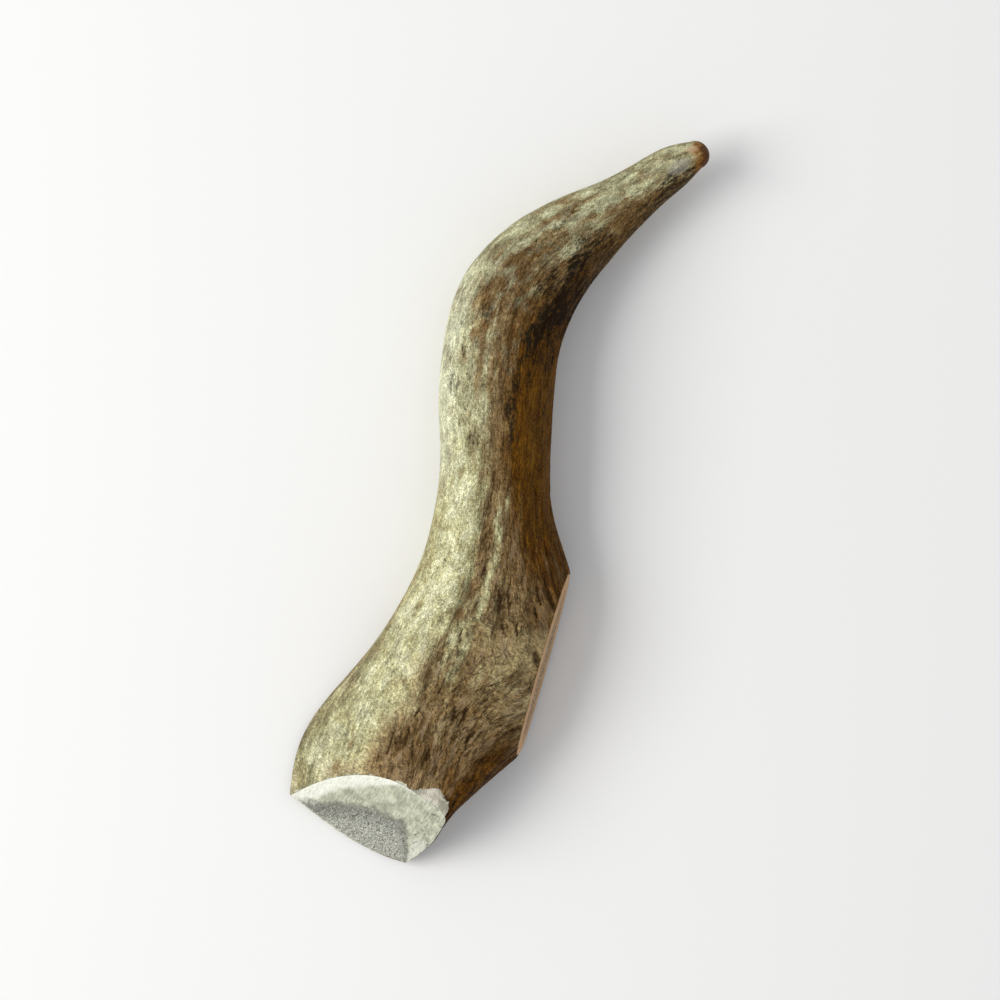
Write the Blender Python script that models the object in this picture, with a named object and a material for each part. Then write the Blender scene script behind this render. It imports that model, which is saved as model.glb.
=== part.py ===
"""Deer antler offcut: one tine with the piece of main beam it grew from.

Metres, +Z up. The antler lies on its natural underside on Z = 0, with its long
direction along Y: sawn end at -Y, tine point at +Y. The sawn fork faces +X.
It grew as one piece, so it is one solid.
"""

import math

import bpy
import numpy as np
from mathutils import Vector

MM = 0.001

# ---------------------------------------------------------------- dimensions
# Sections along the growth axis, all in millimetres:
#   x, y          where the axis passes, seen from above
#   left, right   half-widths to the left and right of the axis
#   top, bottom   heights of the crest and of the underside
#   wide_l/_r     height at which the left and right flanks are widest
#   crest         how far the crest lies to the right of the axis
#   n_ul, n_ur    fullness of the upper left and upper right quarter (2 = round)
#   rise_ul       how the upper left rises to the crest (1 = round, more = a slope)
#   n_lo          fullness of the lower half (more than 2 = flatter underside)
#   keel          how far the edge of the underside lies to the right of the axis
#   sag           how far the underside bellies down to the left of that edge
SECTIONS = [
    # x, y, left, right, top, bottom, wide_l, wide_r, crest, n_ul, rise_ul, n_ur, n_lo, keel, sag
    (6.1, -97.8, 14.4, 15.3, 17.4, 2.7, 2.4, 11.6, 6.5, 1.7, 2.2, 7.5, 1.3, 12.0, 3.1),
    (4.4, -79.0, 16.9, 17.1, 18.6, 2.6, 2.3, 11.6, 7.0, 1.7, 2.2, 7.5, 1.3, 13.8, 3.0),
    (3.3, -69.2, 18.4, 19.5, 19.5, 1.7, 2.0, 10.6, 7.0, 1.7, 2.1, 5.0, 1.7, 15.0, 1.9),
    (3.5, -58.1, 16.6, 22.6, 21.0, 0.25, 2.8, 9.2, 4.0, 1.75, 1.7, 3.2, 3.0, 12.5, 0),
    (4.3, -45.6, 14.6, 27.0, 22.1, 0.1, 5.6, 7.8, 1.2, 1.9, 1.3, 2.2, 3.2, 5.5, 0),
    (4.5, -33.1, 13.6, 29.0, 22.4, 0.4, 7.8, 7.5, -0.3, 2.0, 1.05, 2.2, 3.0, 0.5, 0),
    (3.4, -20.8, 13.0, 22.8, 22.5, 1.2, 9.5, 8.5, -0.5, 2.0, 1.0, 2.0, 2.7, -0.5, 0),
    (0.2, -9.2, 12.3, 14.8, 22.6, 1.9, 11.0, 10.5, -0.3, 2.0, 1.0, 2.0, 2.4, -0.3, 0),
    (-4.2, 1.8, 12.0, 12.4, 22.8, 2.2, 12.0, 12.0, 0.0, 2.1, 0.95, 2.1, 2.2, 0, 0),
    (-9.6, 13.4, 12.6, 12.2, 22.8, 1.9, 12.0, 12.0, 0.0, 2.1, 0.95, 2.1, 2.2, 0, 0),
    (-14.5, 25.2, 12.8, 12.5, 22.5, 1.1, 11.6, 11.6, 0.2, 2.1, 0.95, 2.1, 2.2, 0.2, 0),
    (-16.7, 36.8, 12.7, 12.6, 21.8, 0.4, 11.0, 11.0, 0.3, 2.1, 0.95, 2.1, 2.2, 0.3, 0),
    (-15.1, 47.1, 11.4, 11.5, 20.0, 0.03, 10.0, 10.0, 0.3, 2.1, 0.95, 2.1, 2.2, 0.3, 0),
    (-11.2, 56.5, 9.1, 9.5, 17.4, 0.4, 8.9, 8.9, 0.2, 2.0, 1.0, 2.0, 2.1, 0.2, 0),
    (-6.7, 65.0, 6.7, 7.0, 15.4, 2.2, 8.9, 8.9, 0.0, 2.0, 1.0, 2.0, 2.0, 0, 0),
    (-2.4, 73.5, 5.3, 5.4, 14.6, 4.6, 9.7, 9.7, 0.0, 2.0, 1.0, 2.0, 2.0, 0, 0),
    (1.6, 80.1, 4.4, 4.3, 14.8, 7.2, 11.1, 11.1, 0.0, 2.0, 1.0, 2.0, 2.0, 0, 0),
    (3.8, 83.0, 3.3, 3.0, 15.0, 8.8, 11.9, 11.9, 0.0, 2.0, 1.0, 2.0, 2.0, 0, 0),
]
X, Y, LEFT, RIGHT, TOP, BOTTOM, WIDE_L, WIDE_R, CREST, N_UL, RISE_UL, N_UR, N_LO, KEEL, SAG = range(15)

TIP_RADIUS = 3.0  # worn, rounded point of the tine
RING_STEP = 2.8  # distance between modelled sections
RING_POINTS = 40  # points round a section
CAP_RINGS = 4

# The two saw cuts. Each is a plane: a point where it meets Z = 0, the direction
# in which it faces seen from above, and how far it leans back per mm of height.
END_CUT = {"at": (3.2, -86.75), "faces": -94.0, "lean": 0.938}
FORK_CUT = {"at": (26.4, -32.15), "faces": 11.2, "lean": 0.11}
CUTTER_SIDE = 90.0


# ------------------------------------------------------------------ geometry
def spline(knots, values):
    """Natural cubic spline through values at knots; returns a function."""
    knots = np.asarray(knots, float)
    values = np.asarray(values, float)
    n, h = len(knots), np.diff(knots)
    system, right = np.zeros((n, n)), np.zeros((n, values.shape[1]))
    system[0, 0] = system[-1, -1] = 1.0
    for i in range(1, n - 1):
        system[i, i - 1 : i + 2] = h[i - 1], 2 * (h[i - 1] + h[i]), h[i]
        right[i] = 6 * (
            (values[i + 1] - values[i]) / h[i] - (values[i] - values[i - 1]) / h[i - 1]
        )
    bend = np.linalg.solve(system, right)

    def at(s):
        k = int(np.clip(np.searchsorted(knots, s) - 1, 0, n - 2))
        u, v, w = knots[k + 1] - s, s - knots[k], h[k]
        return (
            (bend[k] * u**3 + bend[k + 1] * v**3) / (6 * w)
            + (values[k] / w - bend[k] * w / 6) * u
            + (values[k + 1] / w - bend[k + 1] * w / 6) * v
        )

    return at


axis_points = np.array([row[:2] for row in SECTIONS])
knots = np.concatenate([[0.0], np.cumsum(np.linalg.norm(np.diff(axis_points, axis=0), axis=1))])
section_at = spline(knots, SECTIONS)
LENGTH = float(knots[-1])


def heading(s):
    """Unit vector along the growth axis, towards the point, seen from above."""
    ahead, behind = section_at(min(s + 0.5, LENGTH)), section_at(max(s - 0.5, 0.0))
    run = Vector((ahead[X] - behind[X], ahead[Y] - behind[Y], 0.0))
    return run.normalized()


def outline(row, count):
    """Points (across, height) round one section, anticlockwise seen from the point."""
    points = []
    for i in range(count):
        turn = 2 * math.pi * i / count
        c, s = math.cos(turn), math.sin(turn)
        upper = s >= 0
        fullness = (row[N_UR] if c >= 0 else row[N_UL]) if upper else row[N_LO]
        ridge = row[CREST] if upper else row[KEEL]
        reach = (row[RIGHT] - ridge) if c >= 0 else (row[LEFT] + ridge)
        across = ridge + math.copysign(abs(c) ** (2 / fullness), c) * reach
        share = (across + row[LEFT]) / (row[LEFT] + row[RIGHT])
        widest = row[WIDE_L] + (row[WIDE_R] - row[WIDE_L]) * share
        rise = abs(s) ** (row[RISE_UL] if upper and c < 0 else 2 / fullness)
        limit = row[TOP] if upper else row[BOTTOM]
        height = widest + (limit - widest) * rise
        if not upper and c < 0:
            part = (across + row[LEFT]) / (row[LEFT] + ridge)
            height -= 4 * row[SAG] * part * (1 - part)
        points.append((across, height))
    return points


def placed(row, along, points):
    """Section points set square to the growth axis, in metres."""
    across = Vector((along.y, -along.x, 0.0))
    centre = Vector((row[X], row[Y], 0.0))
    return [(centre + across * a + Vector((0, 0, z))) * MM for a, z in points]


def antler_body():
    """The whole natural form, a little longer than the piece at the sawn sides."""
    vertices, faces = [], []
    rings = int(round(LENGTH / RING_STEP)) + 1
    for i in range(rings):
        s = LENGTH * i / (rings - 1)
        row = section_at(s)
        vertices += placed(row, heading(s), outline(row, RING_POINTS))

    # The rounded point: the last section closes over a quarter circle.
    row, along = section_at(LENGTH), heading(LENGTH)
    middle = (row[TOP] + row[BOTTOM]) / 2
    for i in range(1, CAP_RINGS):
        turn = math.radians(90) * i / CAP_RINGS
        shrink, advance = math.cos(turn), TIP_RADIUS * math.sin(turn)
        ring = [
            (a * shrink, middle + (z - middle) * shrink)
            for a, z in outline(row, RING_POINTS)
        ]
        vertices += [v + along * (advance * MM) for v in placed(row, along, ring)]
    rings += CAP_RINGS - 1

    for i in range(rings - 1):
        for j in range(RING_POINTS):
            k = (j + 1) % RING_POINTS
            a, b = i * RING_POINTS, (i + 1) * RING_POINTS
            faces.append((a + k, a + j, b + j, b + k))
    point = Vector((row[X], row[Y], middle)) + along * TIP_RADIUS
    vertices.append(point * MM)
    last = (rings - 1) * RING_POINTS
    for j in range(RING_POINTS):
        faces.append((last + (j + 1) % RING_POINTS, last + j, len(vertices) - 1))
    faces.append(tuple(range(RING_POINTS)))

    mesh = bpy.data.meshes.new("antler")
    mesh.from_pydata(vertices, [], faces)
    mesh.validate()
    mesh.update()
    mesh.shade_smooth()
    return bpy.data.objects.new("antler", mesh)


def saw(name, cut, collection):
    """A block whose one face is the plane of a saw cut, and that holds what is sawn off."""
    turn = math.radians(cut["faces"])
    outwards = Vector((math.cos(turn), math.sin(turn), cut["lean"])).normalized()
    foot = Vector((cut["at"][0], cut["at"][1], 0.0)) * MM
    side = CUTTER_SIDE * MM
    bpy.ops.mesh.primitive_cube_add(size=side, location=foot + outwards * (side / 2))
    block = bpy.context.active_object
    block.name = name
    block.rotation_mode = "QUATERNION"
    block.rotation_quaternion = outwards.to_track_quat("Z", "Y")
    block.hide_render = True
    block.display_type = "WIRE"
    for other in block.users_collection:
        other.objects.unlink(block)
    collection.objects.link(block)
    return block


def finish(name, colour, roughness):
    material = bpy.data.materials.new(name)
    material.use_nodes = True
    shader = material.node_tree.nodes["Principled BSDF"]
    shader.inputs["Base Color"].default_value = (*colour, 1.0)
    shader.inputs["Roughness"].default_value = roughness
    shader.inputs["Metallic"].default_value = 0.0
    material.diffuse_color = (*colour, 1.0)
    return material


# --------------------------------------------------------------------- build
for old in list(bpy.data.objects):
    bpy.data.objects.remove(old, do_unlink=True)

part = bpy.data.collections.new("deer_antler")
cutters = bpy.data.collections.new("saw_cuts")
bpy.context.scene.collection.children.link(part)
bpy.context.scene.collection.children.link(cutters)

frame = bpy.data.objects.new("antler_frame", None)
frame.empty_display_size = 0.02
part.objects.link(frame)

antler = antler_body()
part.objects.link(antler)
antler.parent = frame
antler.data.materials.append(finish("antler", (0.42, 0.36, 0.22), 0.62))

for label, cut in (("end_saw", END_CUT), ("fork_saw", FORK_CUT)):
    difference = antler.modifiers.new(label, "BOOLEAN")
    difference.operation = "DIFFERENCE"
    difference.solver = "EXACT"
    difference.object = saw(label, cut, cutters)
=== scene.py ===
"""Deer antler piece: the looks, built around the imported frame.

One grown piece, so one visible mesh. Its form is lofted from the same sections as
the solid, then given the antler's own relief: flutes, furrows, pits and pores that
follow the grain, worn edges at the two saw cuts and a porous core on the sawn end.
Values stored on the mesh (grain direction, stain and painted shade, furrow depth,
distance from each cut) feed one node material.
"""

import math

import bpy
import numpy as np
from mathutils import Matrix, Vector
from mathutils.geometry import delaunay_2d_cdt


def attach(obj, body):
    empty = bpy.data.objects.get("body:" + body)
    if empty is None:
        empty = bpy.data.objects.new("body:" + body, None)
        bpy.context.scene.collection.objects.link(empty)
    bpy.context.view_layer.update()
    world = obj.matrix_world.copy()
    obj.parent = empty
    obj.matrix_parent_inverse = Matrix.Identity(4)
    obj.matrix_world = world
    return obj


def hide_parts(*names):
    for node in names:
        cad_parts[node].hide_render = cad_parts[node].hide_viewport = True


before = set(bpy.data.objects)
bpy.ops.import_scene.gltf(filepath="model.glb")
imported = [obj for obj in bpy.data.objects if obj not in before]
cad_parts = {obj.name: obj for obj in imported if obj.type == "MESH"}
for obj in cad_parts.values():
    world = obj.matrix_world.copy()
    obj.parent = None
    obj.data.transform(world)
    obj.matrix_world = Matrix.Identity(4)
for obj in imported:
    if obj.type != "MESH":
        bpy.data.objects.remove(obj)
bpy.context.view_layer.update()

MM = 0.001

# ------------------------------------------------------------------ the form
# Sections along the growth axis in millimetres, as in the solid:
# x, y, left, right, top, bottom, widest height left and right, crest offset,
# fullness and rise of the upper left, fullness of the upper right and lower half,
# offset of the underside's edge and how far the underside bellies down.
SECTIONS = np.array([
    (6.1, -97.8, 14.4, 15.3, 17.4, 2.7, 2.4, 11.6, 6.5, 1.7, 2.2, 7.5, 1.3, 12.0, 3.1),
    (4.4, -79.0, 16.9, 17.1, 18.6, 2.6, 2.3, 11.6, 7.0, 1.7, 2.2, 7.5, 1.3, 13.8, 3.0),
    (3.3, -69.2, 18.4, 19.5, 19.5, 1.7, 2.0, 10.6, 7.0, 1.7, 2.1, 5.0, 1.7, 15.0, 1.9),
    (3.5, -58.1, 16.6, 22.6, 21.0, 0.25, 2.8, 9.2, 4.0, 1.75, 1.7, 3.2, 3.0, 12.5, 0),
    (4.3, -45.6, 14.6, 27.0, 22.1, 0.1, 5.6, 7.8, 1.2, 1.9, 1.3, 2.2, 3.2, 5.5, 0),
    (4.5, -33.1, 13.6, 29.0, 22.4, 0.4, 7.8, 7.5, -0.3, 2.0, 1.05, 2.2, 3.0, 0.5, 0),
    (3.4, -20.8, 13.0, 22.8, 22.5, 1.2, 9.5, 8.5, -0.5, 2.0, 1.0, 2.0, 2.7, -0.5, 0),
    (0.2, -9.2, 12.3, 14.8, 22.6, 1.9, 11.0, 10.5, -0.3, 2.0, 1.0, 2.0, 2.4, -0.3, 0),
    (-4.2, 1.8, 12.0, 12.4, 22.8, 2.2, 12.0, 12.0, 0.0, 2.1, 0.95, 2.1, 2.2, 0, 0),
    (-9.6, 13.4, 12.6, 12.2, 22.8, 1.9, 12.0, 12.0, 0.0, 2.1, 0.95, 2.1, 2.2, 0, 0),
    (-14.5, 25.2, 12.8, 12.5, 22.5, 1.1, 11.6, 11.6, 0.2, 2.1, 0.95, 2.1, 2.2, 0.2, 0),
    (-16.7, 36.8, 12.7, 12.6, 21.8, 0.4, 11.0, 11.0, 0.3, 2.1, 0.95, 2.1, 2.2, 0.3, 0),
    (-15.1, 47.1, 11.4, 11.5, 20.0, 0.03, 10.0, 10.0, 0.3, 2.1, 0.95, 2.1, 2.2, 0.3, 0),
    (-11.2, 56.5, 9.1, 9.5, 17.4, 0.4, 8.9, 8.9, 0.2, 2.0, 1.0, 2.0, 2.1, 0.2, 0),
    (-6.7, 65.0, 6.7, 7.0, 15.4, 2.2, 8.9, 8.9, 0.0, 2.0, 1.0, 2.0, 2.0, 0, 0),
    (-2.4, 73.5, 5.3, 5.4, 14.6, 4.6, 9.7, 9.7, 0.0, 2.0, 1.0, 2.0, 2.0, 0, 0),
    (1.6, 80.1, 4.4, 4.3, 14.8, 7.2, 11.1, 11.1, 0.0, 2.0, 1.0, 2.0, 2.0, 0, 0),
    (3.8, 83.0, 3.3, 3.0, 15.0, 8.8, 11.9, 11.9, 0.0, 2.0, 1.0, 2.0, 2.0, 0, 0),
])
X, Y, LEFT, RIGHT, TOP, BOTTOM, WIDE_L, WIDE_R, CREST, N_UL, RISE_UL, N_UR, N_LO, KEEL, SAG = range(15)
TIP_RADIUS = 3.0
END_CUT = {"at": (3.2, -86.75), "faces": -94.0, "lean": 0.938}
FORK_CUT = {"at": (26.4, -32.15), "faces": 11.2, "lean": 0.11}

# Lines round the section: right side first (it is wider at the fork), from the
# middle of the underside up to the crest, then down the left side.
N_RIGHT, N_LEFT = 76, 60  # per quarter
N_ROUND = 2 * (N_RIGHT + N_LEFT)
ROW_STEP = 0.62
GRAIN_RADIUS = 12.0  # the round section's radius in grain coordinates, mm


def spline(knots, values):
    """Natural cubic spline; returns a function of an array of positions."""
    n, h = len(knots), np.diff(knots)
    system, right = np.zeros((n, n)), np.zeros((n, values.shape[1]))
    system[0, 0] = system[-1, -1] = 1.0
    for i in range(1, n - 1):
        system[i, i - 1 : i + 2] = h[i - 1], 2 * (h[i - 1] + h[i]), h[i]
        right[i] = 6 * (
            (values[i + 1] - values[i]) / h[i] - (values[i] - values[i - 1]) / h[i - 1]
        )
    bend = np.linalg.solve(system, right)

    def at(s):
        s = np.asarray(s, float)
        k = np.clip(np.searchsorted(knots, s) - 1, 0, n - 2)
        u, v, w = (knots[k + 1] - s)[..., None], (s - knots[k])[..., None], h[k][..., None]
        return (
            (bend[k] * u**3 + bend[k + 1] * v**3) / (6 * w)
            + (values[k] / w - bend[k] * w / 6) * u
            + (values[k + 1] / w - bend[k + 1] * w / 6) * v
        )

    return at


knots = np.concatenate([[0.0], np.cumsum(np.linalg.norm(np.diff(SECTIONS[:, :2], axis=0), axis=1))])
section_at = spline(knots, SECTIONS)
LENGTH = float(knots[-1])


def smooth(low, high, x):
    t = np.clip((x - low) / (high - low), 0.0, 1.0)
    return t * t * (3 - 2 * t)


def across_at(s):
    """Unit vectors to the right of the growth axis, seen from above."""
    ahead, behind = section_at(np.minimum(s + 0.5, LENGTH)), section_at(np.maximum(s - 0.5, 0))
    run = ahead[..., :2] - behind[..., :2]
    run /= np.linalg.norm(run, axis=-1, keepdims=True)
    return np.stack([run[..., 1], -run[..., 0]], -1)


# A table of evenly spaced outlines; everything else is read from it.
TABLE = np.linspace(0.0, LENGTH, 761)


def outline_table():
    rows = section_at(TABLE)
    fine = 240
    table = np.empty((len(TABLE), N_ROUND + 1, 2))
    perimeter = np.empty((len(TABLE), N_ROUND + 1))
    quarters = (  # from, to (degrees), lines, upper, right
        (-90, 0, N_RIGHT, False, True),
        (0, 90, N_RIGHT, True, True),
        (90, 180, N_LEFT, True, False),
        (180, 270, N_LEFT, False, False),
    )
    for k, row in enumerate(rows):
        start, walked = 0, 0.0
        for low, high, count, upper, right in quarters:
            turn = np.radians(np.linspace(low, high, fine))
            c, s = np.cos(turn), np.sin(turn)
            full = (row[N_UR] if right else row[N_UL]) if upper else row[N_LO]
            ridge = row[CREST] if upper else row[KEEL]
            reach = (row[RIGHT] - ridge) if right else (row[LEFT] + ridge)
            a = ridge + np.sign(c) * np.abs(c) ** (2 / full) * reach
            share = (a + row[LEFT]) / (row[LEFT] + row[RIGHT])
            wide = row[WIDE_L] + (row[WIDE_R] - row[WIDE_L]) * share
            rise = row[RISE_UL] if upper and not right else 2 / full
            z = wide + ((row[TOP] if upper else row[BOTTOM]) - wide) * np.abs(s) ** rise
            if not upper and not right:
                part = (a + row[LEFT]) / (row[LEFT] + ridge)
                z = z - 4 * row[SAG] * part * (1 - part)
            gone = np.concatenate([[0.0], np.cumsum(np.hypot(np.diff(a), np.diff(z)))])
            to = np.linspace(0, gone[-1], count + 1)
            table[k, start : start + count + 1, 0] = np.interp(to, gone, a)
            table[k, start : start + count + 1, 1] = np.interp(to, gone, z)
            perimeter[k, start : start + count + 1] = walked + to
            start += count
            walked += gone[-1]
    return table, perimeter


outlines, walked = outline_table()


def on_form(s, line):
    """Points (mm) of the natural form: distance s along the axis, on the given line."""
    k = np.clip(s / LENGTH * (len(TABLE) - 1), 0, len(TABLE) - 1.000001)
    low = k.astype(int)
    part = (k - low)[..., None]
    az = outlines[low, line] * (1 - part) + outlines[low + 1, line] * part
    middle, across = section_at(s)[..., :2], across_at(s)
    flat = middle + across * az[..., :1]
    return np.concatenate([flat, az[..., 1:]], -1)


def plane_of(cut):
    turn = math.radians(cut["faces"])
    n = np.array([math.cos(turn), math.sin(turn), cut["lean"]])
    n /= np.linalg.norm(n)
    return n, float(n @ np.array([*cut["at"], 0.0]))


end_n, end_o = plane_of(END_CUT)
fork_n, fork_o = plane_of(FORK_CUT)

# -------------------------------------------------------------------- noise
_shuffle = np.random.default_rng(7).permutation(256)
_shuffle = np.concatenate([_shuffle, _shuffle])
_dirs = np.random.default_rng(11).normal(size=(256, 3))
_dirs /= np.linalg.norm(_dirs, axis=1, keepdims=True)


def perlin(p, seed=0):
    """Gradient noise in about -1..1 at points p (..., 3)."""
    p = np.asarray(p, float) + seed * 17.31
    cell = np.floor(p).astype(np.int64)
    f = p - cell
    u = f * f * f * (f * (f * 6 - 15) + 10)
    total = 0.0
    for dx in (0, 1):
        for dy in (0, 1):
            for dz in (0, 1):
                h = _shuffle[(cell[..., 0] + dx) & 255]
                h = _shuffle[(h + cell[..., 1] + dy) & 255]
                h = _shuffle[(h + cell[..., 2] + dz) & 255]
                g = _dirs[h]
                dot = (
                    g[..., 0] * (f[..., 0] - dx)
                    + g[..., 1] * (f[..., 1] - dy)
                    + g[..., 2] * (f[..., 2] - dz)
                )
                weight = (
                    (u[..., 0] if dx else 1 - u[..., 0])
                    * (u[..., 1] if dy else 1 - u[..., 1])
                    * (u[..., 2] if dz else 1 - u[..., 2])
                )
                total = total + dot * weight
    return total * 1.6


def fractal(p, octaves, seed=0):
    total, size = 0.0, 1.0
    for i in range(octaves):
        total = total + perlin(p * 2.0**i, seed + i) * size
        size *= 0.5
    return total


# ------------------------------------------------------------- the body grid
# Every line starts on the sawn end, so the first row lies in that cut.
lines = np.arange(N_ROUND)
reach = on_form(TABLE[:, None] * np.ones(N_ROUND), lines[None, :] * np.ones((len(TABLE), 1), int))
beyond = reach @ end_n - end_o  # positive on the sawn-off side
first = np.argmax(beyond < 0, axis=0)
b1, b0 = beyond[first, lines], beyond[first - 1, lines]
start = TABLE[first - 1] + (TABLE[first] - TABLE[first - 1]) * b0 / (b0 - b1)

MEET = 62.0  # from here on the rows are square to the axis
near = np.linspace(0, 1, 76)
near = near * 0.93 + near**2 * 0.07
rows_near = start[None, :] + (MEET - start[None, :]) * near[:, None]
worn = start[None, :] + np.array([0.14, 0.33])[:, None]  # rows for the worn edge
rows_near = np.concatenate([rows_near[:1], worn, rows_near[1:]])
far = np.linspace(MEET, LENGTH, int((LENGTH - MEET) / ROW_STEP) + 1)[1:]
s_grid = np.concatenate([rows_near, far[:, None] * np.ones(N_ROUND)])
line_grid = np.broadcast_to(lines, s_grid.shape)
base = on_form(s_grid, line_grid)

# ------------------------------------------------- vertices, faces, UV corners
points, along, line_of, kind = [], [], [], []  # kind: 0 body, 1 sawn end
faces, corners = [], []  # corners: (u, v) in mm for each face corner
half_right = np.interp(s_grid, TABLE, walked[:, 2 * N_RIGHT])
half_left = np.interp(s_grid, TABLE, walked[:, -1]) - half_right


def around(s, line):
    """Distance round the section from the crest, right side positive."""
    k = np.clip(s / LENGTH * (len(TABLE) - 1), 0, len(TABLE) - 1.000001)
    low = int(k)
    part = k - low
    w = walked[low] * (1 - part) + walked[low + 1] * part
    return w[2 * N_RIGHT] - w[line]


def add_ring(ring_points, s_values, step):
    begin = len(points)
    for n, p in enumerate(ring_points):
        points.append(p)
        along.append(float(s_values[n]))
        line_of.append(n * step)
        kind.append(0)
    return begin, len(ring_points), step


rings, ring_uv = [], []


def ring_corners(s_values, step, shrink=1.0, shift=0.0):
    """UV of each point of a ring, with the first point repeated at the far seam."""
    idx = list(range(0, N_ROUND, step)) + [N_ROUND]
    s_list = list(s_values) + [s_values[0]]
    return [(around(sv, i) * shrink, sv + shift) for sv, i in zip(s_list, idx)]


step = 1
for j in range(len(base)):
    s_mid = float(s_grid[j].mean())
    want = 1 if s_mid < 163.0 else 2
    if want != step:
        step = want
    keep = np.arange(0, N_ROUND, step)
    rings.append(add_ring(base[j, keep], s_grid[j, keep], step))
    ring_uv.append(ring_corners(s_grid[j, keep], step))

# The rounded point of the tine.
tip_row, tip_across = section_at(LENGTH), across_at(np.array(LENGTH))
tip_run = np.array([-tip_across[1], tip_across[0]])
tip_middle = (tip_row[TOP] + tip_row[BOTTOM]) / 2
CAP = 14
for i in range(1, CAP):
    turn = math.radians(90) * i / CAP
    shrink, advance = math.cos(turn), TIP_RADIUS * math.sin(turn)
    step = 2 if shrink > 0.55 else (4 if shrink > 0.25 else 8)
    keep = np.arange(0, N_ROUND, step)
    p = base[-1, keep].copy()
    centre = np.array([tip_row[X], tip_row[Y], tip_middle])
    p = centre + (p - centre) * shrink
    p[:, :2] += tip_run * advance
    s_values = np.full(len(keep), LENGTH)
    ring = add_ring(p, s_values + advance, step)
    rings.append(ring)
    ring_uv.append(ring_corners(s_values, step, shrink, advance))
pole = len(points)
points.append(np.array([tip_row[X], tip_row[Y], tip_middle]) + np.array([*tip_run, 0]) * TIP_RADIUS)
along.append(LENGTH + TIP_RADIUS)
line_of.append(2 * N_RIGHT)
kind.append(0)

for (b0, n0, st0), (b1, n1, st1), uv0, uv1 in zip(rings, rings[1:], ring_uv, ring_uv[1:]):
    if n0 == n1:
        for i in range(n0):
            k = (i + 1) % n0
            faces.append((b0 + k, b0 + i, b1 + i, b1 + k))
            corners.append((uv0[i + 1], uv0[i], uv1[i], uv1[i + 1]))
    else:  # half as many points in the next ring
        for i in range(n1):
            k, m, f = (i + 1) % n1, 2 * i + 1, (2 * i + 2) % n0
            faces.append((b0 + m, b0 + 2 * i, b1 + i))
            corners.append((uv0[m], uv0[2 * i], uv1[i]))
            faces.append((b0 + m, b1 + i, b1 + k))
            corners.append((uv0[m], uv1[i], uv1[i + 1]))
            faces.append((b0 + f, b0 + m, b1 + k))
            corners.append((uv0[2 * i + 2], uv0[m], uv1[i + 1]))
b, n, st = rings[-1]
for i in range(n):
    faces.append((b + (i + 1) % n, b + i, pole))
    corners.append((ring_uv[-1][i + 1], ring_uv[-1][i], (0.0, LENGTH + TIP_RADIUS)))

# The sawn end: worn loops inside the rim, then an even field of points.
e1 = np.array([-end_n[1], end_n[0], 0.0])
e1 /= np.linalg.norm(e1)
e2 = np.cross(end_n, e1)
if e2[2] < 0:
    e2 = -e2
rim = base[0]
rim_mid = rim.mean(0)
rim_flat = np.stack([(rim - rim_mid) @ e1, (rim - rim_mid) @ e2], -1)


def inset(loop, distance):
    """A loop drawn inwards, towards its middle, by about a distance; it never crosses itself."""
    middle = loop.mean(0)
    run = np.roll(loop, -1, 0) - np.roll(loop, 1, 0)
    run /= np.linalg.norm(run, axis=1, keepdims=True)
    room = np.abs((middle - loop)[:, 0] * run[:, 1] - (middle - loop)[:, 1] * run[:, 0])
    share = distance / np.maximum(room, 3.0)
    for _ in range(6):
        share = (np.roll(share, 1) + share + np.roll(share, -1)) / 3
    return loop + (middle - loop) * share[:, None]


def from_flat(flat):
    return rim_mid + flat[..., :1] * e1 + flat[..., 1:] * e2


END_UV = (92.0, 150.0)  # where the sawn end's island sits, mm
loops = [np.arange(rings[0][0], rings[0][0] + N_ROUND)]
loop_flat = [rim_flat]
for distance in (0.15, 0.36, 0.62):
    flat = inset(rim_flat, distance)
    begin = len(points)
    for p in from_flat(flat):
        points.append(p)
        along.append(float(start.mean()))
        line_of.append(0)
        kind.append(1)
    loops.append(np.arange(begin, begin + N_ROUND))
    loop_flat.append(flat)
for a, b, fa, fb in zip(loops, loops[1:], loop_flat, loop_flat[1:]):
    for i in range(N_ROUND):
        k = (i + 1) % N_ROUND
        faces.append((int(a[i]), int(a[k]), int(b[k]), int(b[i])))
        corners.append(tuple((float(f[q, 0]) + END_UV[0], float(f[q, 1]) + END_UV[1]) for f, q in ((fa, i), (fa, k), (fb, k), (fb, i))))


def inside(loop, p):
    """Which of the points p lie inside the loop."""
    x0, y0 = loop[:, 0], loop[:, 1]
    x1, y1 = np.roll(x0, -1), np.roll(y0, -1)
    hit = np.zeros(len(p), bool)
    for xa, ya, xb, yb in zip(x0, y0, x1, y1):
        crosses = (ya > p[:, 1]) != (yb > p[:, 1])
        with np.errstate(divide="ignore", invalid="ignore"):
            at = (xb - xa) * (p[:, 1] - ya) / (yb - ya) + xa
        hit ^= crosses & (p[:, 0] < at)
    return hit


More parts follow.
